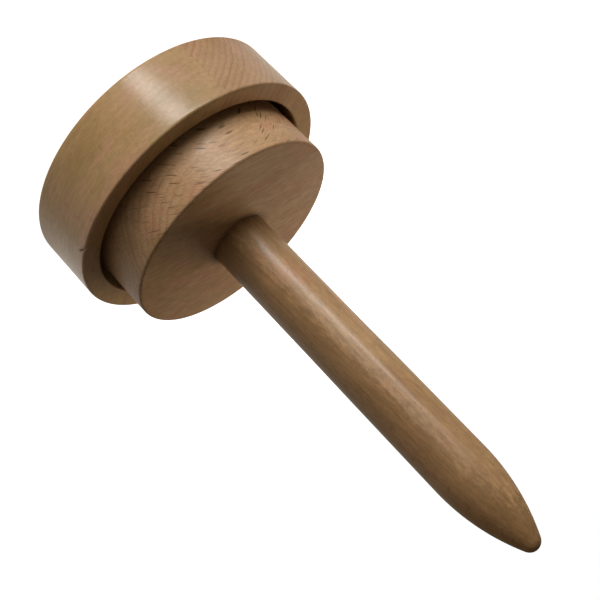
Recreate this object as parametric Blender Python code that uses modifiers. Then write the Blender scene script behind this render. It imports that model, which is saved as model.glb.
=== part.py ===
"""A turned beech nutcracker: a stamp, made of a head and a handle, that works inside a loose guard ring.

The ring and the head's striking face both stand on z = 0, and +Z runs up the handle. Units are metres.
The ring is turned from a board of three strips glued edge to edge, which leaves it in four segments.
"""

import math

import bmesh
import bpy
from mathutils import Matrix, Vector

# Driving sizes. The head's height is its rim's; its crown rises above that, and its socket goes down from it.
RING_DIAMETER = 0.105
RING_BORE = 0.090
RING_HEIGHT = 0.027
HEAD_DIAMETER = 0.085
HEAD_HEIGHT = 0.046
CROWN = 0.002
HANDLE_DIAMETER = 0.0218
TOTAL_HEIGHT = 0.195
SOCKET_DEPTH = 0.030
NOSE_LENGTH = 0.0345
TIP_RADIUS = 0.0038
EDGE_RADIUS = 0.0009
FOOT_CHAMFER = 0.0012

# The board that the ring is turned from: the way across its strips, and the two glue lines' places that way
ACROSS_STRIPS_DEG = -55.0
NEAR_GLUE_LINE = 0.0175
FAR_GLUE_LINE = -0.025

# Room between touching pieces
GLUE_GAP = 0.0003

# Fineness of the turned surfaces
RING_STEPS = 144
HEAD_STEPS = 128
HANDLE_STEPS = 64
EDGE_STEPS = 2
CROWN_STEPS = 6
NOSE_STEPS = 12
TIP_STEPS = 5
CREASE_ANGLE = math.radians(35)
MERGE_DISTANCE = 0.00001

BEECH = {"colour": (0.48, 0.29, 0.17, 1.0), "roughness": 0.42}
HANDLE_BEECH = {"colour": (0.44, 0.27, 0.14, 1.0), "roughness": 0.38}


def clear_scene():
    """Removes every object, so that the model starts from an empty scene."""
    for obj in list(bpy.data.objects):
        bpy.data.objects.remove(obj)


def new_collection(name, hidden=False):
    """A collection linked to the scene, left out of renders when hidden."""
    collection = bpy.data.collections.new(name)
    bpy.context.scene.collection.children.link(collection)
    collection.hide_render = hidden
    return collection


def new_material(name, colour, roughness):
    """Bare wood as a Principled surface."""
    material = bpy.data.materials.new(name)
    material.use_nodes = True
    shader = material.node_tree.nodes["Principled BSDF"]
    shader.inputs["Base Color"].default_value = colour
    shader.inputs["Roughness"].default_value = roughness
    shader.inputs["Metallic"].default_value = 0.0
    return material


def arc(centre, radius, start_deg, end_deg, steps):
    """Points (r, z) on an arc, both ends included."""
    angles = [math.radians(start_deg + (end_deg - start_deg) * i / steps) for i in range(steps + 1)]
    return [(centre[0] + radius * math.cos(a), centre[1] + radius * math.sin(a)) for a in angles]


def rounded_edge(r, z, r_side, z_side, start_deg):
    """A quarter turn round an edge at (r, z), clockwise from start_deg. The sides say where the wood lies."""
    centre = (r + r_side * EDGE_RADIUS, z + z_side * EDGE_RADIUS)
    return arc(centre, EDGE_RADIUS, start_deg, start_deg - 90, EDGE_STEPS)


def turned(name, profile, steps, closed, collection):
    """A profile of (r, z) points turned round the z axis."""
    mesh = bpy.data.meshes.new(name)
    edges = [(i, i + 1) for i in range(len(profile) - 1)]
    if closed:
        edges.append((len(profile) - 1, 0))
    mesh.from_pydata([(r, 0.0, z) for r, z in profile], edges, [])
    obj = bpy.data.objects.new(name, mesh)
    collection.objects.link(obj)
    screw = obj.modifiers.new("turning", "SCREW")
    screw.axis = "Z"
    screw.steps = steps
    screw.render_steps = steps
    screw.use_merge_vertices = True
    screw.merge_threshold = MERGE_DISTANCE
    return obj


def finish_mesh(obj, material):
    """Makes the modifiers' result the object's own mesh, shaded smooth between crisp edges."""
    bpy.context.view_layer.update()
    evaluated = obj.evaluated_get(bpy.context.evaluated_depsgraph_get())
    obj.data = bpy.data.meshes.new_from_object(evaluated)
    obj.modifiers.clear()
    obj.data.shade_smooth()
    obj.data.set_sharp_from_angle(angle=CREASE_ANGLE)
    obj.data.materials.clear()
    obj.data.materials.append(material)
    return obj


def ring_profile():
    """The guard ring's section, with its four edges rounded, from the top of its outer side round to its bore."""
    outer = RING_DIAMETER / 2
    inner = RING_BORE / 2
    profile = rounded_edge(outer, RING_HEIGHT, -1, -1, 90)
    profile += rounded_edge(outer, 0.0, -1, 1, 0)
    profile += rounded_edge(inner, 0.0, 1, 1, -90)
    profile += rounded_edge(inner, RING_HEIGHT, 1, -1, -180)
    return profile


def strip_cutter(name, low, high, side, collection):
    """A box round a stretch of one strip, between two offsets across the strips.

    side is 0 for the whole strip, or 1 or -1 for the part of it on one side of the ring's centre.
    """
    reach = RING_DIAMETER
    along = (-reach, reach) if side == 0 else sorted((0.0, side * reach))
    corners = ((low, along[0], -RING_HEIGHT), (high, along[1], 2 * RING_HEIGHT))
    size = Vector(corners[1]) - Vector(corners[0])
    middle = (Vector(corners[1]) + Vector(corners[0])) / 2
    mesh = bpy.data.meshes.new(name)
    shape = bmesh.new()
    bmesh.ops.create_cube(shape, size=1.0, matrix=Matrix.Translation(middle) @ Matrix.Diagonal((*size, 1.0)))
    shape.to_mesh(mesh)
    shape.free()
    cutter = bpy.data.objects.new(name, mesh)
    cutter.rotation_euler.z = math.radians(ACROSS_STRIPS_DEG)
    cutter.hide_render = True
    cutter.display_type = "WIRE"
    collection.objects.link(cutter)
    return cutter


def ring_segment(name, low, high, side, collection, cutters, material):
    """One segment of the ring: the turned ring where it lies in one strip of the board."""
    segment = turned(name, ring_profile(), RING_STEPS, True, collection)
    keep = segment.modifiers.new("strip", "BOOLEAN")
    keep.operation = "INTERSECT"
    keep.solver = "EXACT"
    keep.object = strip_cutter(name + "_strip", low, high, side, cutters)
    return finish_mesh(segment, material)


def make_ring(collection, cutters):
    """The guard ring in its four glued segments."""
    material = new_material("ring_beech", **BEECH)
    half_gap = GLUE_GAP / 2
    near = (NEAR_GLUE_LINE + half_gap, RING_DIAMETER)
    middle = (FAR_GLUE_LINE + half_gap, NEAR_GLUE_LINE - half_gap)
    far = (-RING_DIAMETER, FAR_GLUE_LINE - half_gap)
    ring_segment("ring_front_segment", *near, 0, collection, cutters, material)
    ring_segment("ring_left_segment", *middle, -1, collection, cutters, material)
    ring_segment("ring_right_segment", *middle, 1, collection, cutters, material)
    ring_segment("ring_back_segment", *far, 0, collection, cutters, material)


def crown(r):
    """The height of the head's slightly crowned top face, at a distance r from the axis."""
    rim = HEAD_DIAMETER / 2 - EDGE_RADIUS
    return HEAD_HEIGHT + CROWN * (1 - (r / rim) ** 2)


def head_profile():
    """From the middle of the socket's floor, up the socket, over the top face and down to the striking face."""
    socket = HANDLE_DIAMETER / 2 + GLUE_GAP
    outer = HEAD_DIAMETER / 2
    floor = HEAD_HEIGHT - SOCKET_DEPTH
    profile = [(0.0, floor), (socket, floor)]
    for i in range(CROWN_STEPS):
        r = socket + (outer - EDGE_RADIUS - socket) * i / CROWN_STEPS
        profile.append((r, crown(r)))
    profile += rounded_edge(outer, HEAD_HEIGHT, -1, -1, 90)
    profile += rounded_edge(outer, 0.0, -1, 1, 0)
    profile.append((0.0, 0.0))
    return profile


def handle_profile(length):
    """From the tip down to the foot: a round tip, an ogive nose, a plain rod and a chamfered foot.

    The nose is an arc that meets the rod and the tip without a corner.
    """
    radius = HANDLE_DIAMETER / 2
    nose_start = length - NOSE_LENGTH
    rise = NOSE_LENGTH - TIP_RADIUS
    ogive = (rise**2 + radius**2 - TIP_RADIUS**2) / (2 * (radius - TIP_RADIUS))
    meeting_deg = math.degrees(math.asin(rise / (ogive - TIP_RADIUS)))
    profile = arc((0.0, length - TIP_RADIUS), TIP_RADIUS, 90, meeting_deg, TIP_STEPS)
    profile[0] = (0.0, length)
    profile += arc((radius - ogive, nose_start), ogive, meeting_deg, 0, NOSE_STEPS)[1:]
    profile += [(radius, FOOT_CHAMFER), (radius - FOOT_CHAMFER, 0.0), (0.0, 0.0)]
    return profile


def make_stamp(collection):
    """The head, and the handle that is glued into its socket, both on the axis that the stamp slides along."""
    axis = bpy.data.objects.new("stamp_axis", None)
    collection.objects.link(axis)
    head = turned("head", head_profile(), HEAD_STEPS, False, collection)
    finish_mesh(head, new_material("head_beech", **BEECH))
    foot = HEAD_HEIGHT - SOCKET_DEPTH + GLUE_GAP
    handle = turned("handle", handle_profile(TOTAL_HEIGHT - foot), HANDLE_STEPS, False, collection)
    finish_mesh(handle, new_material("handle_beech", **HANDLE_BEECH))
    handle.location.z = foot
    head.parent = axis
    handle.parent = axis


clear_scene()
nutcracker = new_collection("nutcracker")
cutter_boxes = new_collection("cutters", hidden=True)
make_ring(nutcracker, cutter_boxes)
make_stamp(nutcracker)
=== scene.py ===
"""The looks of a turned beech nutcracker: a stamp, made of a head and a handle, in its guard ring.

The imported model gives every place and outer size. This script turns finer pieces of wood in those places,
gives each the grain of the board it was cut from, and stands them on a pale studio floor.
"""

import logging
import math
from dataclasses import dataclass, field, replace
from enum import Enum

import bpy
from mathutils import Euler, Matrix, Vector


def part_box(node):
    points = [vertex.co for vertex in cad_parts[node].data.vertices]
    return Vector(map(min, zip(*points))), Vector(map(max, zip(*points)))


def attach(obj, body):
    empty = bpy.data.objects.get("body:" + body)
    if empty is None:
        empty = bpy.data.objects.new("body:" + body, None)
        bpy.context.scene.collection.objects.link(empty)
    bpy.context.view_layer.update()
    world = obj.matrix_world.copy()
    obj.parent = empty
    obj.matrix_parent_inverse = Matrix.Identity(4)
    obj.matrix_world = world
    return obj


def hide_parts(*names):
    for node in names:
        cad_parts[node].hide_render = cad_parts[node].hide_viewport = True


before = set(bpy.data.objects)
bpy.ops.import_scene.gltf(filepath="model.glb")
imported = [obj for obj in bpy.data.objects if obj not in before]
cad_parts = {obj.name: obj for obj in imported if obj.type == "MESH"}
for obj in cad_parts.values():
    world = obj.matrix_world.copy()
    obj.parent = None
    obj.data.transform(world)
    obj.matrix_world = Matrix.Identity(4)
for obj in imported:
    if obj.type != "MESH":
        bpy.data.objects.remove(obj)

log = logging.getLogger("nutcracker")

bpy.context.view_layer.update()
MM = 0.001
UP = Vector((0.0, 0.0, 1.0))

# How finely the pieces are made: the steps of their arcs, the steps round them, the longest run on their
# straight sides, and the sharpest bend that is still shaded smooth
EDGE_STEPS = 5
CROWN_STEPS = 24
NOSE_STEPS = 40
TIP_STEPS = 10
HEAD_TURNS = 288
HANDLE_TURNS = 128
PAD_TURNS = 96
HEAD_RUN = 0.9 * MM
HANDLE_RUN = 1.2 * MM
CREASE_DEG = 40.0

# Marks of use and painted shade: how far the rubbing reaches from an edge, how faint a mark is left out, and
# how each one shows. The corner mark paints shade round the handle's foot and the nick mark paints shade in
# the chip
EDGE_WEAR_REACH = 1.6 * MM
FAINTEST_MARK = 0.01
EDGE_DARKENING = 0.12
EDGE_POLISH = 0.08
# Painted shade in the corner where the handle meets the head
CORNER_SHADE_STRENGTH = 0.62
CORNER_SHADE_COLOUR = (0.070, 0.026, 0.012)
# Painted shade in the nick in the ring's rim
NICK_SHADE_STRENGTH = 0.85
NICK_SHADE_COLOUR = (0.045, 0.022, 0.010)

Point = tuple[float, float]
Colour = tuple[float, float, float]
Socket = bpy.types.NodeSocket


class Side(Enum):
    """Which way round the ring a segment of the board's middle strip lies."""

    LEFT = -1
    RIGHT = 1


class WearAndShade(Enum):
    """The marks stored on the mesh, each under its own name: the wear that time leaves on turned wood, and
    the shade painted into the handle's corner and into the nick.
    """

    EDGE = "edge_wear"
    # Painted shade in the corner where the handle meets the head
    CORNER_SHADE = "corner_shade"
    # Painted shade in the nick in the ring's rim
    NICK_SHADE = "nick_shade"


def heading(angle_deg: float) -> Vector:
    """A direction in the ring's plane, by its angle from +X."""
    return Vector((math.cos(math.radians(angle_deg)), math.sin(math.radians(angle_deg)), 0.0))


# ---------------------------------------------------------------------------------------------------------
# Turning
# ---------------------------------------------------------------------------------------------------------


def arc(centre: Point, radius: float, start_deg: float, end_deg: float, steps: int) -> list[Point]:
    """Points along an arc in the turning plane.

    Args:
        centre: the arc's centre, as radius from the axis and height.
        radius: the arc's radius.
        start_deg: the angle it starts at, from the outward direction.
        end_deg: the angle it ends at.
        steps: how many straight steps stand for it.

    Returns:
        The points, both ends included.
    """
    turns = [math.radians(start_deg + (end_deg - start_deg) * i / steps) for i in range(steps + 1)]
    return [(centre[0] + radius * math.cos(t), centre[1] + radius * math.sin(t)) for t in turns]


def divided(profile: list[Point], longest: float, closed: bool) -> list[Point]:
    """A profile with extra points on its long straight runs, so that marks and grain have mesh to lie on.

    Args:
        profile: the profile's points.
        longest: the longest run left between two points.
        closed: whether the last point joins the first.

    Returns:
        The denser profile.
    """
    made: list[Point] = []
    ends = profile[1:] + profile[:1] if closed else profile[1:]
    for (r0, z0), (r1, z1) in zip(profile, ends):
        cuts = max(1, math.ceil(math.hypot(r1 - r0, z1 - z0) / longest))
        made += [(r0 + (r1 - r0) * i / cuts, z0 + (z1 - z0) * i / cuts) for i in range(cuts)]
    return made if closed else made + [profile[-1]]


def new_piece(name: str, points: list[Vector], faces: list[tuple[int, ...]]) -> bpy.types.Object:
    """A smooth-shaded piece from its points and faces, with its hard corners kept crisp.

    Args:
        name: the piece's name.
        points: its points, in metres.
        faces: its faces, facing out.

    Returns:
        The piece, linked to the scene.
    """
    mesh = bpy.data.meshes.new(name)
    mesh.from_pydata([tuple(p) for p in points], [], faces)
    mesh.validate()
    mesh.shade_smooth()
    mesh.set_sharp_from_angle(angle=math.radians(CREASE_DEG))
    piece = bpy.data.objects.new(name, mesh)
    bpy.context.scene.collection.objects.link(piece)
    return piece


def turn_solid(name: str, profile: list[Point], turns: int) -> bpy.types.Object:
    """Turns a profile that starts and ends on the axis into a solid.

    Args:
        name: the piece's name.
        profile: (radius, height) points down the outside, the first and last of them on the axis.
        turns: how many steps go round.

    Returns:
        The turned piece.
    """
    inner = profile[1:-1]
    rows = len(inner)
    points = [
        Vector((r * math.cos(math.tau * i / turns), r * math.sin(math.tau * i / turns), z))
        for i in range(turns)
        for r, z in inner
    ]
    first, last = len(points), len(points) + 1
    points += [Vector((0.0, 0.0, profile[0][1])), Vector((0.0, 0.0, profile[-1][1]))]
    faces: list[tuple[int, ...]] = []
    for i in range(turns):
        here, there = i * rows, (i + 1) % turns * rows
        faces.append((first, here, there))
        faces += [(here + j, here + j + 1, there + j + 1, there + j) for j in range(rows - 1)]
        faces.append((last, there + rows - 1, here + rows - 1))
    return new_piece(name, points, faces)


@dataclass(frozen=True)
class Nick:
    """A small nick knocked into a turned piece's outer side.

    Attributes:
        reach: the side's distance from the axis.
        angle_deg: where it starts round the piece.
        height: how high it starts.
        end_angle_deg: where it ends round the piece.
        end_height: how high it ends.
        width: how far from its line the wood is pressed in, where it starts.
        end_width: the same where it ends.
        depth: how deep it goes.
    """

    reach: float
    angle_deg: float
    height: float
    end_angle_deg: float
    end_height: float
    width: float
    end_width: float
    depth: float

    def nearness(self, point: Vector) -> float:
        """How strongly a point is pressed in.

        Args:
            point: a point on the piece.

        Returns:
            1 on the nick's line, falling to 0 away from it.
        """
        ends = [
            Vector((self.reach * math.cos(math.radians(a)), self.reach * math.sin(math.radians(a)), z))
            for a, z in ((self.angle_deg, self.height), (self.end_angle_deg, self.end_height))
        ]
        run = ends[1] - ends[0]
        along = min(1.0, max(0.0, (point - ends[0]).dot(run) / run.length_squared))
        gap = (point - ends[0] - run * along).length
        width = self.width + (self.end_width - self.width) * along
        return math.exp(-((gap / width) ** 2))

    def press(self, piece: bpy.types.Object) -> None:
        """Presses the nick into a piece's mesh and marks where shade is painted into it, darkest on its line.

        Args:
            piece: the piece to mark.
        """
        # Painted shade in the nick, darkest on its line
        marks = piece.data.attributes.new(WearAndShade.NICK_SHADE.value, "FLOAT", "POINT")
        for vertex, mark in zip(piece.data.vertices, marks.data):
            amount = self.nearness(vertex.co)
            if amount > FAINTEST_MARK:
                outward = Vector((vertex.co.x, vertex.co.y, 0.0)).normalized()
                vertex.co -= outward * self.depth * amount
                mark.value = amount


def mark_rims(piece: bpy.types.Object, mark_kind: WearAndShade, rims: list[Point], reach: float) -> None:
    """Marks how close each point of a turned piece is to a rim or a corner.

    Args:
        piece: the piece to mark.
        mark_kind: the mark, wear at the edges and painted shade in the handle's corner.
        rims: each rim's radius and height.
        reach: how far the mark goes from a rim.
    """
    marks = piece.data.attributes.new(mark_kind.value, "FLOAT", "POINT")
    for vertex, mark in zip(piece.data.vertices, marks.data):
        radius = math.hypot(vertex.co.x, vertex.co.y)
        gap = min(math.hypot(radius - r, vertex.co.z - z) for r, z in rims)
        mark.value = max(0.0, 1.0 - gap / reach) ** 2


# ---------------------------------------------------------------------------------------------------------
# Wood
# ---------------------------------------------------------------------------------------------------------


@dataclass(frozen=True)
class Lay:
    """How a piece lies in the tree: which way its fibres run and where the tree's heart was.

    Attributes:
        fibre: the way the fibres run.
        outward: the way from the tree's heart to its bark, through the piece's middle.
        heart_distance: how far the heart lies from the frame's origin, in millimetres.
        heart_shift: how far the heart lies off to the side, in millimetres.
        year: one year's growth, in millimetres.
        waver: how far the growth layers wander, in millimetres.
        offset: shifts the grain along itself, so that no two pieces share a figure.
    """

    fibre: Vector
    outward: Vector
    heart_distance: float
    heart_shift: float
    year: float
    waver: float
    offset: float

    def axes(self) -> tuple[Vector, Vector, Vector]:
        """The fibre, outward and sideways directions, square to each other."""
        fibre = self.fibre.normalized()
        outward = (self.outward - fibre * self.outward.dot(fibre)).normalized()
        return fibre, outward, fibre.cross(outward)


@dataclass(frozen=True)
class Finish:
    """Oiled beech as it looks on one kind of piece.

    Attributes:
        pale: the palest wood.
        deep: the deepest colour of its cloudy patches.
        late: the line where each year's growth ends.
        fleck: the short dark flecks of the rays.
        blush: the rosy tint of its warmer patches.
        heartwood: the browner wood near the tree's heart.
        heartwood_edge: how far the heartwood reaches from the heart, in millimetres.
        late_strength: how strongly the year lines show.
        streak_strength: how strongly the fibres' streaks show.
        fleck_strength: how strongly the flecks show.
        fleck_size: a fleck's cell along the fibres, outward and sideways, in millimetres.
        fleck_cut: how much of its cell a fleck fills.
        fleck_heading: the heading of the sides that cut the rays best.
        fleck_elsewhere: how strongly the flecks show on the other surfaces, as a share.
        streak_run: how long the fibres' streaks are, in millimetres.
        mottling: how strongly the wood is mottled.
        end_deepening: how much darker the end grain is.
        roughness: the oiled surface's roughness.
        shine: how strongly the oiled surface itself shines.
        coat: how much the hard wax stands on top.
        coat_roughness: the wax's roughness.
        relief: how strongly the fibres stand up.
        wax_relief: how strongly the wax follows the fibres.
    """

    pale: Colour
    deep: Colour
    late: Colour
    fleck: Colour
    blush: Colour
    heartwood: Colour = (0.230, 0.122, 0.042)
    heartwood_edge: float = 0.0
    late_strength: float = 0.35
    streak_strength: float = 0.30
    fleck_strength: float = 0.45
    fleck_size: tuple[float, float, float] = (4.0, 7.0, 0.75)
    fleck_cut: float = 0.30
    fleck_heading: float = 0.0
    fleck_elsewhere: float = 1.0
    streak_run: float = 28.0
    mottling: float = 0.05
    end_deepening: float = 0.12
    roughness: float = 0.46
    shine: float = 0.30
    coat: float = 0.85
    coat_roughness: float = 0.14
    relief: float = 0.45
    wax_relief: float = 0.24


@dataclass(frozen=True)
class Figure:
    """A cloudy figure in the wood, drawn out along the fibres.

    Attributes:
        along: how fast it changes along the fibres, per millimetre.
        across: how fast it changes across them, per millimetre.
        detail: how many finer layers it has.
        roughness: how strong the finer layers are.
    """

    along: float
    across: float
    detail: float
    roughness: float = 0.55


LAYER_WANDER = Figure(0.009, 0.035, 2.0)
YEAR_WOBBLE = Figure(0.02, 0.16, 3.0)
CLOUDS = Figure(0.022, 0.075, 3.0)
PATCHES = Figure(0.045, 0.110, 2.0)
MOTTLE = Figure(0.26, 0.75, 3.0, 0.65)
FIBRES = Figure(0.30, 6.0, 2.0)
TOOTH = Figure(0.90, 2.2, 2.0, 0.7)
# Each finish says how long its streaks run
STREAKS = Figure(1.0, 1.1, 5.0, 0.62)

# How far the surface's relief rises
RELIEF_DEPTH = 0.12 * MM
# The heartwood: how far the mottling moves its edge and how far the edge fades, in millimetres, and how much
# of its colour shows inside
HEARTWOOD_WANDER = 7.0
HEARTWOOD_FADE = 1.8
HEARTWOOD_SHARE = 0.55
# How much lighter the light parts of a figure are, as a share of how much darker its dark parts are
LIGHTENING = 0.4
# How much rougher the oiled surface is on dark streaks and on end grain
STREAK_DULLNESS = 0.22
END_DULLNESS = 0.08


class WoodShader:
    """Builds one piece's beech, as solid wood that its surface cuts through."""

    def __init__(self, name: str, lay: Lay, finish: Finish) -> None:
        """Starts the material with the grain that its colour, its gloss and its relief share.

        Args:
            name: the material's name.
            lay: how the piece lies in the tree.
            finish: how its surface looks.
        """
        self.lay = lay
        self.finish = finish
        self.material = bpy.data.materials.new(name)
        self.material.use_nodes = True
        self.nodes = self.material.node_tree.nodes
        self.links = self.material.node_tree.links
        self.nodes.clear()
        self.grain, self.reach, self.end_cut = self.grain_coordinates()
        self.mottle = self.noise(self.grain, MOTTLE)
        self.streaks = self.noise(self.grain, replace(STREAKS, along=1.0 / finish.streak_run))
        self.fibres = self.noise(self.grain, FIBRES)
        self.tooth = self.noise(self.grain, TOOTH)
        self.rays = self.flecks()

    # Small tools -------------------------------------------------------------------------------------------

    def feed(self, target: Socket, value: Socket | float | Colour) -> None:
        """Gives a socket its value, by a link or directly.

        Args:
            target: the socket to feed.
            value: another node's output, a number or a colour.
        """
        if isinstance(value, bpy.types.NodeSocket):
            self.links.new(value, target)
        elif isinstance(value, (int, float)):
            target.default_value = value
        else:
            room = len(target.default_value)
            target.default_value = (*value, 1.0)[:room]

    def math(self, operation: str, *values: Socket | float) -> Socket:
        """One step of arithmetic.

        Args:
            operation: the Math node's operation.
            values: its inputs.

        Returns:
            The result.
        """
        node = self.nodes.new("ShaderNodeMath")
        node.operation = operation
        for target, value in zip(node.inputs, values):
            self.feed(target, value)
        return node.outputs[0]

    def along(self, point: Socket, direction: Vector) -> Socket:
        """How far a point lies along a direction.

        Args:
            point: the point.
            direction: the direction, times a scale.

        Returns:
            The distance.
        """
        node = self.nodes.new("ShaderNodeVectorMath")
        node.operation = "DOT_PRODUCT"
        self.links.new(point, node.inputs[0])
        node.inputs[1].default_value = direction
        return node.outputs["Value"]

    def stretched(self, grain: Socket, scale: tuple[float, float, float]) -> Socket:
        """The grain's coordinates, scaled along the fibres, outward and sideways.

        Args:
            grain: the coordinates, in millimetres.
            scale: the three factors.

        Returns:
            The scaled coordinates.
        """
        node = self.nodes.new("ShaderNodeVectorMath")
        node.operation = "MULTIPLY"
        self.links.new(grain, node.inputs[0])
        node.inputs[1].default_value = scale
        return node.outputs["Vector"]

    def noise(self, point: Socket, figure: Figure) -> Socket:
        """A figure's smooth noise, around 0.5.

        Args:
            point: where to read it, along the fibres, outward and sideways.
            figure: the figure.

        Returns:
            The noise.
        """
        node = self.nodes.new("ShaderNodeTexNoise")
        node.inputs["Scale"].default_value = 1.0
        node.inputs["Detail"].default_value = figure.detail
        node.inputs["Roughness"].default_value = figure.roughness
        scale = (figure.along, figure.across, figure.across)
        self.links.new(self.stretched(point, scale), node.inputs["Vector"])
        return node.outputs["Fac"]

    def ease(
        self, value: Socket, low: float, high: float, to_low: float = 0.0, to_high: float = 1.0
    ) -> Socket:
        """Eases a value from one range to another, held at both ends.

        Args:
            value: the value.
            low: where the easing starts.
            high: where it ends.
            to_low: the result up to low.
            to_high: the result from high on.

        Returns:
            The eased value.
        """
        node = self.nodes.new("ShaderNodeMapRange")
        node.interpolation_type = "SMOOTHSTEP"
        for target, number in zip(node.inputs, (value, low, high, to_low, to_high)):
            self.feed(target, number)
        return node.outputs[0]

    def blend(self, share: Socket | float, below: Socket | Colour, above: Socket | Colour) -> Socket:
        """Mixes two colours.

        Args:
            share: how much of the second one shows.
            below: the first colour.
            above: the second colour.

        Returns:
            The mixed colour.
        """
        node = self.nodes.new("ShaderNodeMix")
        node.data_type = "RGBA"
        self.feed(node.inputs["Factor"], share)
        self.feed(node.inputs[6], below)
        self.feed(node.inputs[7], above)
        return node.outputs[2]

    def shaded(self, colour: Socket, factor: Socket) -> Socket:
        """A colour made lighter or darker.

        Args:
            colour: the colour.
            factor: what to multiply it by.

        Returns:
            The shaded colour.
        """
        node = self.nodes.new("ShaderNodeVectorMath")
        node.operation = "SCALE"
        self.links.new(colour, node.inputs[0])
        self.links.new(factor, node.inputs["Scale"])
        return node.outputs["Vector"]

    def varied(self, colour: Socket, noise: Socket, low: float, high: float, strength: float) -> Socket:
        """A colour made a little lighter where some noise is low, and darker where it is high.

        Args:
            colour: the colour.
            noise: the noise.
            low: where the colour is lightest.
            high: where it is darkest.
            strength: how much darker it gets there.

        Returns:
            The varied colour.
        """
        factor = self.ease(noise, low, high, 1.0 + LIGHTENING * strength, 1.0 - strength)
        return self.shaded(colour, factor)

    def faced(self, direction: Vector) -> Socket:
        """How squarely the surface faces along a direction, either way."""
        place = self.nodes.new("ShaderNodeTexCoord")
        return self.math("ABSOLUTE", self.along(place.outputs["Normal"], direction))

    def mark(self, mark_kind: WearAndShade) -> Socket:
        """A mark stored on the mesh, 0 where the mesh has none."""
        node = self.nodes.new("ShaderNodeAttribute")
        node.attribute_name = mark_kind.value
        return node.outputs["Fac"]

    # The wood itself ---------------------------------------------------------------------------------------

    def grain_coordinates(self) -> tuple[Socket, Socket, Socket]:
        """Where a point lies in the tree.

        Returns:
            The coordinates along the fibres, outward from the heart and round it, in millimetres; the outward
            one on its own, wandering with the growth layers; and how squarely the surface cuts the fibres.
        """
        fibre, outward, sideways = self.lay.axes()
        place = self.nodes.new("ShaderNodeTexCoord")
        along = self.math("ADD", self.along(place.outputs["Object"], fibre / MM), self.lay.offset)
        out = self.math("ADD", self.along(place.outputs["Object"], outward / MM), self.lay.heart_distance)
        side = self.math("SUBTRACT", self.along(place.outputs["Object"], sideways / MM), self.lay.heart_shift)
        plain = self.nodes.new("ShaderNodeCombineXYZ")
        for target, value in zip(plain.inputs, (along, out, side)):
            self.links.new(value, target)
        wander = self.noise(plain.outputs[0], LAYER_WANDER)
        wander = self.math("MULTIPLY", self.math("SUBTRACT", wander, 0.5), 2.0 * self.lay.waver)
        squares = self.math("ADD", self.math("POWER", out, 2.0), self.math("POWER", side, 2.0))
        reach = self.math("ADD", self.math("SQRT", squares), wander)
        round_heart = self.math("MULTIPLY", self.math("ARCTAN2", side, out), self.lay.heart_distance)
        grain = self.nodes.new("ShaderNodeCombineXYZ")
        for target, value in zip(grain.inputs, (along, reach, round_heart)):
            self.links.new(value, target)
        end_cut = self.math("ABSOLUTE", self.along(place.outputs["Normal"], fibre))
        return grain.outputs[0], reach, end_cut

    def growth(self) -> tuple[Socket, Socket]:
        """The year lines.

        Returns:
            How far into the late wood a point is, and how deep the colour of its year is.
        """
        wobble = self.math("MULTIPLY", self.noise(self.grain, YEAR_WOBBLE), 0.9)
        years = self.math("ADD", self.math("DIVIDE", self.reach, self.lay.year), wobble)
        in_year = self.math("FRACT", years)
        late = self.math("MULTIPLY", self.ease(in_year, 0.25, 0.90), self.ease(in_year, 0.90, 1.0, 1.0, 0.0))
        turn = self.nodes.new("ShaderNodeTexWhiteNoise")
        turn.noise_dimensions = "1D"
        self.links.new(self.math("FLOOR", years), turn.inputs["W"])
        return late, turn.outputs["Value"]

    def flecks(self) -> Socket:
        """The rays, thin sheets that stand across the growth layers and show as short flecks.

        Returns:
            1 in a fleck and 0 beside it.
        """
        size = self.finish.fleck_size
        cells = self.nodes.new("ShaderNodeTexVoronoi")
        cells.inputs["Scale"].default_value = 1.0
        self.links.new(self.stretched(self.grain, tuple(1.0 / s for s in size)), cells.inputs["Vector"])
        split = self.nodes.new("ShaderNodeSeparateColor")
        self.links.new(cells.outputs["Color"], split.inputs[0])
        cut = self.finish.fleck_cut
        inside = self.ease(cells.outputs["Distance"], 0.35 * cut, cut, 1.0, 0.0)
        return self.math("MULTIPLY", inside, self.ease(split.outputs[0], 0.25, 0.85))

    def relief(self, height: Socket, strength: float) -> Socket:
        """Raises the surface by a height.

        Args:
            height: the height, from 0 to 1.
            strength: how strongly it shows.

        Returns:
            The surface's new facing.
        """
        bump = self.nodes.new("ShaderNodeBump")
        bump.inputs["Strength"].default_value = strength
        bump.inputs["Distance"].default_value = RELIEF_DEPTH
        self.links.new(height, bump.inputs["Height"])
        return bump.outputs["Normal"]

    def heartwood(self) -> Socket:
        """The heartwood, with the mottled edge where it meets the paler wood.

        Returns:
            How much of its colour shows, 0 outside it.
        """
        edge = self.finish.heartwood_edge
        shift = self.math("MULTIPLY", self.math("SUBTRACT", self.mottle, 0.5), HEARTWOOD_WANDER)
        wandering = self.math("SUBTRACT", self.reach, shift)
        return self.ease(wandering, edge - HEARTWOOD_FADE, edge + HEARTWOOD_FADE, HEARTWOOD_SHARE, 0.0)

    def ground(self) -> Socket:
        """The wood's own colour, with its clouds, its rosy patches, its heartwood and its mottling.

        Returns:
            The colour.
        """
        look = self.finish
        colour = self.blend(self.ease(self.noise(self.grain, CLOUDS), 0.30, 0.72), look.pale, look.deep)
        patches = self.ease(self.noise(self.grain, PATCHES), 0.48, 0.68, 0.0, 0.8)
        colour = self.blend(patches, colour, look.blush)
        colour = self.blend(self.heartwood(), colour, look.heartwood)
        return self.varied(colour, self.mottle, 0.32, 0.68, look.mottling)

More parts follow.
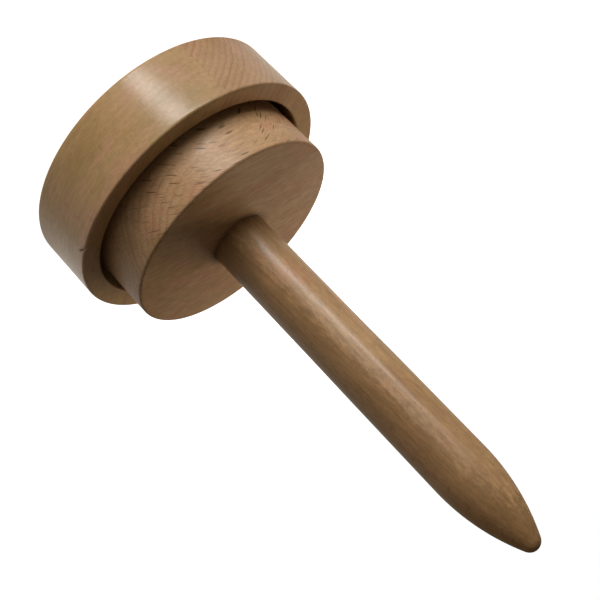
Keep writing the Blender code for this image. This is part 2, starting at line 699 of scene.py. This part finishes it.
    def lined(self, colour: Socket) -> Socket:
        """Draws the year lines, the streaks, the fibres and the flecks over a colour.

        Args:
            colour: the wood's own colour.

        Returns:
            The colour with its lines.
        """
        look = self.finish
        late, year_depth = self.growth()
        late = self.math("MULTIPLY", late, self.ease(year_depth, 0.0, 1.0, 0.45, 1.0))
        late = self.math("MULTIPLY", late, self.ease(self.end_cut, 0.25, 0.85, 0.30, 1.0))
        colour = self.blend(self.math("MULTIPLY", late, look.late_strength), colour, look.late)
        colour = self.varied(colour, self.streaks, 0.28, 0.72, look.streak_strength)
        colour = self.shaded(colour, self.ease(self.fibres, 0.30, 0.70, 1.04, 0.93))
        share = self.ease(self.faced(heading(look.fleck_heading)), 0.50, 0.80, look.fleck_elsewhere, 1.0)
        share = self.math("MULTIPLY", share, look.fleck_strength)
        return self.blend(self.math("MULTIPLY", self.rays, share), colour, look.fleck)

    def aged_and_shaded(self, colour: Socket) -> Socket:
        """Deepens the end grain, adds the marks of use, and paints shade into the corner round the handle's
        foot and into the nick.

        Args:
            colour: the wood's colour with its lines.

        Returns:
            The finished colour.
        """
        end_grain = self.ease(self.end_cut, 0.45, 1.0, 1.0, 1.0 - self.finish.end_deepening)
        rubbing = self.math("MULTIPLY", self.mark(WearAndShade.EDGE), EDGE_DARKENING)
        # Painted shade: in the corner round the handle's foot and in the nick
        corner_shade = self.math("MULTIPLY", self.mark(WearAndShade.CORNER_SHADE), CORNER_SHADE_STRENGTH)
        nick_shade = self.math("MULTIPLY", self.mark(WearAndShade.NICK_SHADE), NICK_SHADE_STRENGTH)
        colour = self.shaded(colour, end_grain)
        colour = self.shaded(colour, self.math("SUBTRACT", 1.0, rubbing))
        colour = self.blend(corner_shade, colour, CORNER_SHADE_COLOUR)
        return self.blend(nick_shade, colour, NICK_SHADE_COLOUR)

    def dullness(self) -> Socket:
        """The oiled surface's roughness, which follows the streaks, the end grain and the rubbed edges.

        Returns:
            The roughness.
        """
        streaks = self.math("MULTIPLY", self.math("SUBTRACT", self.streaks, 0.5), STREAK_DULLNESS)
        end_grain = self.math("MULTIPLY", self.ease(self.end_cut, 0.5, 1.0), END_DULLNESS)
        rubbing = self.math("MULTIPLY", self.mark(WearAndShade.EDGE), EDGE_POLISH)
        rough = self.math("ADD", self.math("ADD", self.finish.roughness, streaks), end_grain)
        return self.math("SUBTRACT", rough, rubbing)

    def height(self) -> Socket:
        """How high the fibres, the streaks and the fine tooth stand, and how low the flecks lie.

        Returns:
            The height.
        """
        layers = ((self.fibres, 0.30), (self.streaks, 0.25), (self.tooth, 0.45), (self.rays, -0.35))
        height: Socket | float = 0.0
        for layer, share in layers:
            height = self.math("ADD", height, self.math("MULTIPLY", layer, share))
        return height

    def dress(self) -> bpy.types.Material:
        """Lays out the whole material.

        Returns:
            The finished material.
        """
        look = self.finish
        surface = self.nodes.new("ShaderNodeBsdfPrincipled")
        surface.inputs["Specular IOR Level"].default_value = look.shine
        surface.inputs["Coat Weight"].default_value = look.coat
        surface.inputs["Coat Roughness"].default_value = look.coat_roughness
        self.links.new(self.aged_and_shaded(self.lined(self.ground())), surface.inputs["Base Color"])
        self.links.new(self.dullness(), surface.inputs["Roughness"])
        self.links.new(self.relief(self.height(), look.relief), surface.inputs["Normal"])
        self.links.new(self.relief(self.tooth, look.wax_relief), surface.inputs["Coat Normal"])
        output = self.nodes.new("ShaderNodeOutputMaterial")
        self.links.new(surface.outputs[0], output.inputs["Surface"])
        return self.material


FRONT_STRIP = Finish(
    pale=(0.512, 0.320, 0.148),
    deep=(0.400, 0.250, 0.092),
    late=(0.300, 0.160, 0.062),
    fleck=(0.200, 0.100, 0.035),
    blush=(0.525, 0.290, 0.158),
    late_strength=0.24,
    streak_strength=0.10,
    mottling=0.09,
    fleck_strength=0.20,
)
MIDDLE_STRIP = replace(
    FRONT_STRIP,
    pale=(0.505, 0.308, 0.152),
    deep=(0.420, 0.235, 0.108),
    late=(0.300, 0.145, 0.062),
    late_strength=0.62,
)
HEAD_FINISH = Finish(
    pale=(0.530, 0.328, 0.174),
    deep=(0.430, 0.250, 0.115),
    late=(0.300, 0.150, 0.060),
    fleck=(0.105, 0.056, 0.016),
    blush=(0.520, 0.268, 0.146),
    late_strength=0.46,
    streak_strength=0.20,
    streak_run=5.0,
    mottling=0.10,
    fleck_strength=0.90,
    fleck_size=(5.8, 10.0, 1.15),
    fleck_cut=0.40,
    fleck_heading=250.0,
    fleck_elsewhere=0.12,
    coat=0.14,
    coat_roughness=0.26,
    relief=0.60,
)
HANDLE_FINISH = Finish(
    pale=(0.490, 0.300, 0.146),
    deep=(0.385, 0.220, 0.095),
    late=(0.230, 0.118, 0.038),
    fleck=(0.130, 0.065, 0.018),
    blush=(0.455, 0.242, 0.115),
    heartwood_edge=31.0,
    late_strength=0.25,
    streak_strength=0.18,
    streak_run=20.0,
    mottling=0.13,
    fleck_strength=0.40,
    fleck_size=(3.0, 3.0, 0.6),
    coat=0.26,
    coat_roughness=0.23,
    relief=0.60,
)


# ---------------------------------------------------------------------------------------------------------
# The guard ring
# ---------------------------------------------------------------------------------------------------------


@dataclass
class GuardRing:
    """The loose ring, turned from a board of three strips and so left in four glued segments.

    Attributes:
        bore: the opening's radius.
        across_deg: the way across the board's strips.
        near_line: the first glue line's place across the strips.
        far_line: the other glue line's place.
        glue: half the width of the dark hairline at a glue line.
        rounding: the rubbed edges' radius.
        step: the mesh's step round and along the ring.
        pieces: the turned segments, by node.
    """

    bore: float = 45.0 * MM
    across_deg: float = -55.0
    near_line: float = 17.5 * MM
    far_line: float = -25.0 * MM
    glue: float = 0.012 * MM
    rounding: float = 0.9 * MM
    step: float = 0.45 * MM
    pieces: dict[str, bpy.types.Object] = field(default_factory=dict)

    @property
    def radius(self) -> float:
        """The outer radius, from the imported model."""
        return max(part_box(node)[1].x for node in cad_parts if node.startswith("ring_"))

    @property
    def height(self) -> float:
        """The height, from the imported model."""
        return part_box("ring_front_segment")[1].z

    def profile(self) -> list[Point]:
        """The ring's section, from the top of its outer side down, and up its bore."""
        edge, outer, inner, top = self.rounding, self.radius, self.bore, self.height
        section = arc((outer - edge, top - edge), edge, 90, 0, EDGE_STEPS)
        section += arc((outer - edge, edge), edge, 0, -90, EDGE_STEPS)
        section += arc((inner + edge, edge), edge, -90, -180, EDGE_STEPS)
        section += arc((inner + edge, top - edge), edge, -180, -270, EDGE_STEPS)
        return divided(section, self.step, closed=True)

    def face_angle(self, radius: float, face: tuple[int, float]) -> float:
        """Where a flat glue face meets a circle round the ring's axis.

        Args:
            radius: the circle's radius.
            face: the face's turning direction and its place across the strips.

        Returns:
            The angle, from +X.
        """
        turn = face[0] * math.acos(max(-1.0, min(1.0, face[1] / radius)))
        return math.radians(self.across_deg) + turn

    def segment(self, name: str, start: tuple[int, float], end: tuple[int, float]) -> bpy.types.Object:
        """One segment, between two flat glue faces.

        Args:
            name: the node that it stands for.
            start: the turning direction and the place across the strips of the face where it starts.
            end: the same for the face where it ends.

        Returns:
            The segment.
        """
        section = self.profile()
        rows = len(section)
        sweep = (self.face_angle(self.radius, end) - self.face_angle(self.radius, start)) % math.tau
        steps = math.ceil(sweep * self.radius / self.step)
        points: list[Vector] = []
        for i in range(steps + 1):
            for r, z in section:
                first = self.face_angle(r, start)
                run = (self.face_angle(r, end) - first) % math.tau
                turn = first + run * i / steps
                points.append(Vector((r * math.cos(turn), r * math.sin(turn), z)))
        faces: list[tuple[int, ...]] = []
        for i in range(steps):
            for j in range(rows):
                k = (j + 1) % rows
                faces.append((i * rows + j, i * rows + k, (i + 1) * rows + k, (i + 1) * rows + j))
        faces.append(tuple(range(rows - 1, -1, -1)))
        faces.append(tuple(steps * rows + j for j in range(rows)))
        return new_piece(name + "_wood", points, faces)

    def build(self) -> None:
        """Turns the four segments, wears their edges and knocks the chip out of the rim, with painted shade
        in it.
        """
        near, far, glue = self.near_line, self.far_line, self.glue
        spans = {
            "ring_front_segment": ((-1, near + glue), (1, near + glue)),
            "ring_left_segment": ((Side.LEFT.value, far + glue), (Side.LEFT.value, near - glue)),
            "ring_right_segment": ((Side.RIGHT.value, near - glue), (Side.RIGHT.value, far + glue)),
            "ring_back_segment": ((1, far - glue), (-1, far - glue)),
        }
        rims = [(r, z) for r in (self.bore, self.radius) for z in (0.0, self.height)]
        for node, (start, end) in spans.items():
            piece = self.segment(node, start, end)
            mark_rims(piece, WearAndShade.EDGE, rims, EDGE_WEAR_REACH)
            self.pieces[node] = piece
        chip = Nick(
            reach=self.radius,
            angle_deg=-40.6,
            height=self.height - 0.1 * MM,
            end_angle_deg=-37.8,
            end_height=self.height - 2.1 * MM,
            width=0.55 * MM,
            end_width=0.25 * MM,
            depth=0.70 * MM,
        )
        chip.press(self.pieces["ring_front_segment"])

    def strips(self) -> dict[str, tuple[Lay, Finish]]:
        """How each segment's strip lay in its tree, and how it looks."""
        fibre = heading(self.across_deg - 90.0)
        across = heading(self.across_deg)
        flat = Lay(
            fibre, UP - across * 0.18, heart_distance=130.0, heart_shift=-21.0, year=2.8, waver=0.9,
            offset=40.0,
        )
        rift = Lay(
            fibre, UP * 0.68 - across * 0.74, heart_distance=90.0, heart_shift=-10.5, year=2.2, waver=0.9,
            offset=190.0,
        )
        quarter = Lay(
            fibre, UP * 0.35 + across * 0.94, heart_distance=120.0, heart_shift=-10.0, year=2.6, waver=1.2,
            offset=420.0,
        )
        return {
            "ring_front_segment": (flat, FRONT_STRIP),
            "ring_left_segment": (rift, MIDDLE_STRIP),
            "ring_right_segment": (rift, MIDDLE_STRIP),
            "ring_back_segment": (quarter, FRONT_STRIP),
        }

    def dress(self) -> None:
        """Gives each segment its wood and its place on the ring's body."""
        for node, (lay, finish) in self.strips().items():
            piece = self.pieces[node]
            piece.data.materials.append(WoodShader(node + "_beech", lay, finish).dress())
            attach(piece, "guard_ring")
            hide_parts(node)
            log.info("%s: %d faces", piece.name, len(piece.data.polygons))


# ---------------------------------------------------------------------------------------------------------
# The stamp
# ---------------------------------------------------------------------------------------------------------


@dataclass
class Stamp:
    """The striking head and the handle glued into it.

    Attributes:
        head_height: how high the head's rim stands.
        crown: how far its top face rises from the rim to the middle.
        handle_radius: the plain rod's radius.
        nose: how long the handle's nose is.
        tip: the nose's tip radius.
        socket_depth: how deep the handle stands in the head, from the rim's height down.
        seam: the hairline round the handle where it enters the head.
        rounding: the head's rubbed edges' radius.
        foot_chamfer: the bevel on the handle's hidden foot.
        head_corner_shade: how far the painted shade in the corner spreads over the head from the handle's
            foot.
        handle_corner_shade: how far it climbs the handle.
        pieces: the turned head and handle, by node.
    """

    head_height: float = 46.0 * MM
    crown: float = 2.0 * MM
    handle_radius: float = 10.9 * MM
    nose: float = 34.5 * MM
    tip: float = 3.8 * MM
    socket_depth: float = 30.0 * MM
    seam: float = 0.06 * MM
    rounding: float = 0.9 * MM
    foot_chamfer: float = 1.2 * MM
    head_corner_shade: float = 3.8 * MM
    handle_corner_shade: float = 1.0 * MM
    pieces: dict[str, bpy.types.Object] = field(default_factory=dict)

    def head_profile(self) -> list[Point]:
        """From the socket's floor up its wall, over the top face, and down to the striking face."""
        radius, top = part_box("head")[1].x, self.head_height
        floor, bore, edge = top - self.socket_depth, self.handle_radius + self.seam, self.rounding
        flat = radius - edge
        section = [(0.0, floor), (bore, floor)]
        for r in (bore + (flat - bore) * i / CROWN_STEPS for i in range(CROWN_STEPS)):
            section.append((r, top + self.crown * (1.0 - (r / flat) ** 2)))
        section += arc((flat, top - edge), edge, 90, 0, EDGE_STEPS)
        section += arc((radius - edge, edge), edge, 0, -90, EDGE_STEPS)
        section.append((0.0, 0.0))
        return divided(section, HEAD_RUN, closed=False)

    def handle_profile(self) -> list[Point]:
        """From the tip down to the foot. The nose is an arc that meets the rod and the tip smoothly."""
        foot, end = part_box("handle")[0].z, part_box("handle")[1].z
        radius, bevel = self.handle_radius, self.foot_chamfer
        rise = self.nose - self.tip
        nose = (rise**2 + radius**2 - self.tip**2) / (2 * (radius - self.tip))
        meeting_deg = math.degrees(math.asin(rise / (nose - self.tip)))
        section = arc((0.0, end - self.tip), self.tip, 90, meeting_deg, TIP_STEPS)
        section[0] = (0.0, end)
        section += arc((radius - nose, end - self.nose), nose, meeting_deg, 0, NOSE_STEPS)[1:]
        section += [(radius, foot + bevel), (radius - bevel, foot), (0.0, foot)]
        return divided(section, HANDLE_RUN, closed=False)

    def build(self) -> None:
        """Turns the head and the handle, wears the head's edges and paints shade into the corner where they
        meet.
        """
        head = turn_solid("head_wood", self.head_profile(), HEAD_TURNS)
        handle = turn_solid("handle_wood", self.handle_profile(), HANDLE_TURNS)
        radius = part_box("head")[1].x
        corner = [(self.handle_radius, self.head_height + self.crown)]
        mark_rims(head, WearAndShade.EDGE, [(radius, self.head_height), (radius, 0.0)], EDGE_WEAR_REACH)
        # Painted shade in the corner where the handle meets the head, fading over the head and up the handle
        mark_rims(head, WearAndShade.CORNER_SHADE, corner, self.head_corner_shade)
        mark_rims(handle, WearAndShade.CORNER_SHADE, corner, self.handle_corner_shade)
        self.pieces = {"head": head, "handle": handle}

    def dress(self) -> None:
        """Gives the head and the handle their wood and their place on the stamp's body."""
        head_lay = Lay(
            heading(-31.0), UP * -0.79 - heading(241.0) * 0.61, heart_distance=86.0, heart_shift=0.0,
            year=2.6, waver=1.4, offset=700.0,
        )
        handle_lay = Lay(
            UP + heading(200.0) * 0.020, heading(215.0), heart_distance=26.0, heart_shift=3.0, year=2.7,
            waver=1.2, offset=1000.0,
        )
        dresses = {
            "head": (head_lay, HEAD_FINISH, "head_beech"),
            "handle": (handle_lay, HANDLE_FINISH, "handle_beech"),
        }
        for node, (lay, finish, slot) in dresses.items():
            piece = self.pieces[node]
            piece.data.materials.append(WoodShader(node + "_wood", lay, finish).dress())
            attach(piece, "stamp")
            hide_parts(node)
            log.info("%s: %d faces", piece.name, len(piece.data.polygons))


# ---------------------------------------------------------------------------------------------------------
# The studio
# ---------------------------------------------------------------------------------------------------------


@dataclass(frozen=True)
class SoftBox:
    """A soft light panel that faces the nutcracker.

    Attributes:
        name: the light's name.
        way: the direction it stands in.
        distance: how far away it stands.
        long_way: the direction its long side runs in, roughly.
        sides: its width and its length.
        power: its power, in watts.
        colour: its colour.
        aim_height: how high up the nutcracker it is aimed.
        mirrored: whether shiny surfaces show it.
    """

    name: str
    way: Vector
    distance: float
    long_way: Vector
    sides: tuple[float, float]
    power: float
    colour: Colour = (1.0, 0.98, 0.96)
    aim_height: float = 0.05
    mirrored: bool = True

    def place(self) -> None:
        """Adds the light to the scene, out of the camera's sight."""
        light = bpy.data.lights.new(self.name, "AREA")
        light.shape = "RECTANGLE"
        light.size, light.size_y = self.sides
        light.energy = self.power
        light.color = self.colour
        lamp = bpy.data.objects.new(self.name, light)
        back = self.way.normalized()
        length = (self.long_way - back * self.long_way.dot(back)).normalized()
        turn = Matrix((length.cross(back), length, back)).transposed().to_4x4()
        lamp.matrix_world = Matrix.Translation(UP * self.aim_height + back * self.distance) @ turn
        lamp.visible_camera = False
        lamp.visible_glossy = self.mirrored
        bpy.context.scene.collection.objects.link(lamp)
        log.info("%s: %.1f W", self.name, self.power)


@dataclass
class Studio:
    """A plain pale floor, an unseen pad on it, a pale surround, soft lights and the camera.

    Attributes:
        floor_reach: how far the floor goes each way.
        floor_drop: how far below the nutcracker it lies.
        floor_light: the light that it gives the wood.
        pad_radius: the pad's radius.
        pad_drop: how far below the nutcracker the pad lies.
        surround_light: the light that the surround gives the wood.
        camera_at: the camera's place.
        look_down_deg: how far it looks down.
        roll_deg: how far it is turned about its own line of sight.
        lens: its focal length, in millimetres.
    """

    floor_reach: float = 6.0
    floor_drop: float = 0.2 * MM
    floor_light: Colour = (0.25, 0.23, 0.20)
    pad_radius: float = 51.0 * MM
    pad_drop: float = 0.1 * MM
    surround_light: Colour = (0.097, 0.084, 0.067)
    camera_at: Vector = field(default_factory=lambda: Vector((-0.0004, -0.352, 0.206)))
    look_down_deg: float = 19.6
    roll_deg: float = 136.16
    lens: float = 64.4

    def place_camera(self) -> None:
        """Sets up the camera."""
        data = bpy.data.cameras.new("camera")
        data.lens = self.lens
        data.sensor_width = 36.0
        data.clip_start = 10.0 * MM
        camera = bpy.data.objects.new("camera", data)
        level = Euler((math.radians(90.0 - self.look_down_deg), 0.0, 0.0)).to_matrix().to_4x4()
        roll = Matrix.Rotation(math.radians(self.roll_deg), 4, "Z")
        camera.matrix_world = Matrix.Translation(self.camera_at) @ level @ roll
        bpy.context.scene.collection.objects.link(camera)
        bpy.context.scene.camera = camera

    def glow(self, nodes: bpy.types.Nodes, links: bpy.types.NodeLinks, lit: Colour) -> Socket:
        """A colour that is white where it is seen, and calm where it only lights the wood.

        Args:
            nodes: the tree's nodes.
            links: the tree's links.
            lit: the colour that lights the scene.

        Returns:
            The colour.
        """
        path = nodes.new("ShaderNodeLightPath")
        colour = nodes.new("ShaderNodeMix")
        colour.data_type = "RGBA"
        colour.inputs[6].default_value = (*lit, 1.0)
        colour.inputs[7].default_value = (1.0, 1.0, 1.0, 1.0)
        links.new(path.outputs["Is Camera Ray"], colour.inputs["Factor"])
        return colour.outputs[2]

    def place_floor(self) -> None:
        """Lays the floor, which stops no light on its way to the wood."""
        reach = self.floor_reach
        corners = [(-reach, -reach, 0.0), (reach, -reach, 0.0), (reach, reach, 0.0), (-reach, reach, 0.0)]
        mesh = bpy.data.meshes.new("floor")
        mesh.from_pydata(corners, [], [(0, 1, 2, 3)])
        floor = bpy.data.objects.new("floor", mesh)
        floor.location.z = -self.floor_drop
        floor.visible_shadow = False
        bpy.context.scene.collection.objects.link(floor)
        material = bpy.data.materials.new("floor_white")
        material.use_nodes = True
        nodes, links = material.node_tree.nodes, material.node_tree.links
        surface = nodes["Principled BSDF"]
        surface.inputs["Base Color"].default_value = (0.80, 0.80, 0.80, 1.0)
        surface.inputs["Roughness"].default_value = 0.9
        surface.inputs["Specular IOR Level"].default_value = 0.1
        surface.inputs["Emission Strength"].default_value = 1.0
        links.new(self.glow(nodes, links, self.floor_light), surface.inputs["Emission Color"])
        mesh.materials.append(material)

    def place_pad(self) -> None:
        """Puts an unseen pad under the ring, so that no light comes up through its opening."""
        points = [heading(360.0 * i / PAD_TURNS) * self.pad_radius for i in range(PAD_TURNS)]
        mesh = bpy.data.meshes.new("pad")
        mesh.from_pydata([tuple(p) for p in points], [], [tuple(range(PAD_TURNS))])
        pad = bpy.data.objects.new("pad", mesh)
        pad.location.z = -self.pad_drop
        pad.visible_camera = False
        bpy.context.scene.collection.objects.link(pad)
        material = bpy.data.materials.new("pad_dark")
        material.use_nodes = True
        surface = material.node_tree.nodes["Principled BSDF"]
        surface.inputs["Base Color"].default_value = (0.10, 0.08, 0.06, 1.0)
        surface.inputs["Roughness"].default_value = 0.9
        mesh.materials.append(material)

    def place_surround(self) -> None:
        """Surrounds the scene with pale light."""
        world = bpy.data.worlds.new("surround")
        world.use_nodes = True
        nodes, links = world.node_tree.nodes, world.node_tree.links
        background = nodes["Background"]
        links.new(self.glow(nodes, links, self.surround_light), background.inputs["Color"])
        bpy.context.scene.world = world

    def light(self) -> None:
        """Sets out the soft lights.

        The main one and a narrow one stand low at the front and two stand low behind, all below the floor,
        which stops no light. A weak one stands close behind the nutcracker, above the floor.
        """
        boxes = [
            SoftBox(
                name="main_light",
                way=Vector((-0.578, -0.707, -0.407)),
                distance=1.3,
                long_way=Vector((-0.36, 0.20, 0.42)),
                sides=(0.18, 0.95),
                power=12.8,
            ),
            SoftBox(
                name="bounce",
                way=Vector((-0.28, 0.82, 0.48)),
                distance=0.38,
                long_way=UP,
                sides=(0.26, 0.26),
                power=1.00,
                colour=(1.0, 0.96, 0.90),
                aim_height=0.04,
                mirrored=False,
            ),
            SoftBox(
                name="far_light",
                way=Vector((-0.05, 0.94, -0.34)),
                distance=1.2,
                long_way=UP,
                sides=(0.8, 0.35),
                power=2.5,
                mirrored=False,
            ),
            SoftBox(
                name="rim_light",
                way=Vector((0.65, 0.55, -0.53)),
                distance=1.2,
                long_way=UP,
                sides=(0.5, 0.4),
                power=0.55,
                colour=(1.0, 0.98, 0.95),
                aim_height=0.03,
            ),
            SoftBox(
                name="strip_light",
                way=Vector((-0.25, -0.95, -0.19)),
                distance=1.2,
                long_way=UP,
                sides=(0.07, 0.22),
                power=0.7,
            ),
        ]
        for box in boxes:
            box.place()

    def set_up(self) -> None:
        """Sets up the camera, the floor, the surround and the lights, with plain colour handling."""
        self.place_camera()
        self.place_floor()
        self.place_pad()
        self.place_surround()
        self.light()
        view = bpy.context.scene.view_settings
        view.view_transform = "Standard"
        view.look = "None"


def main() -> None:
    """Sets up the studio, then builds and dresses the guard ring and the stamp."""
    logging.basicConfig(level=logging.INFO, format="%(name)s: %(message)s")
    Studio().set_up()
    for part in (GuardRing(), Stamp()):
        part.build()
        part.dress()


if __name__ == "__main__":
    main()
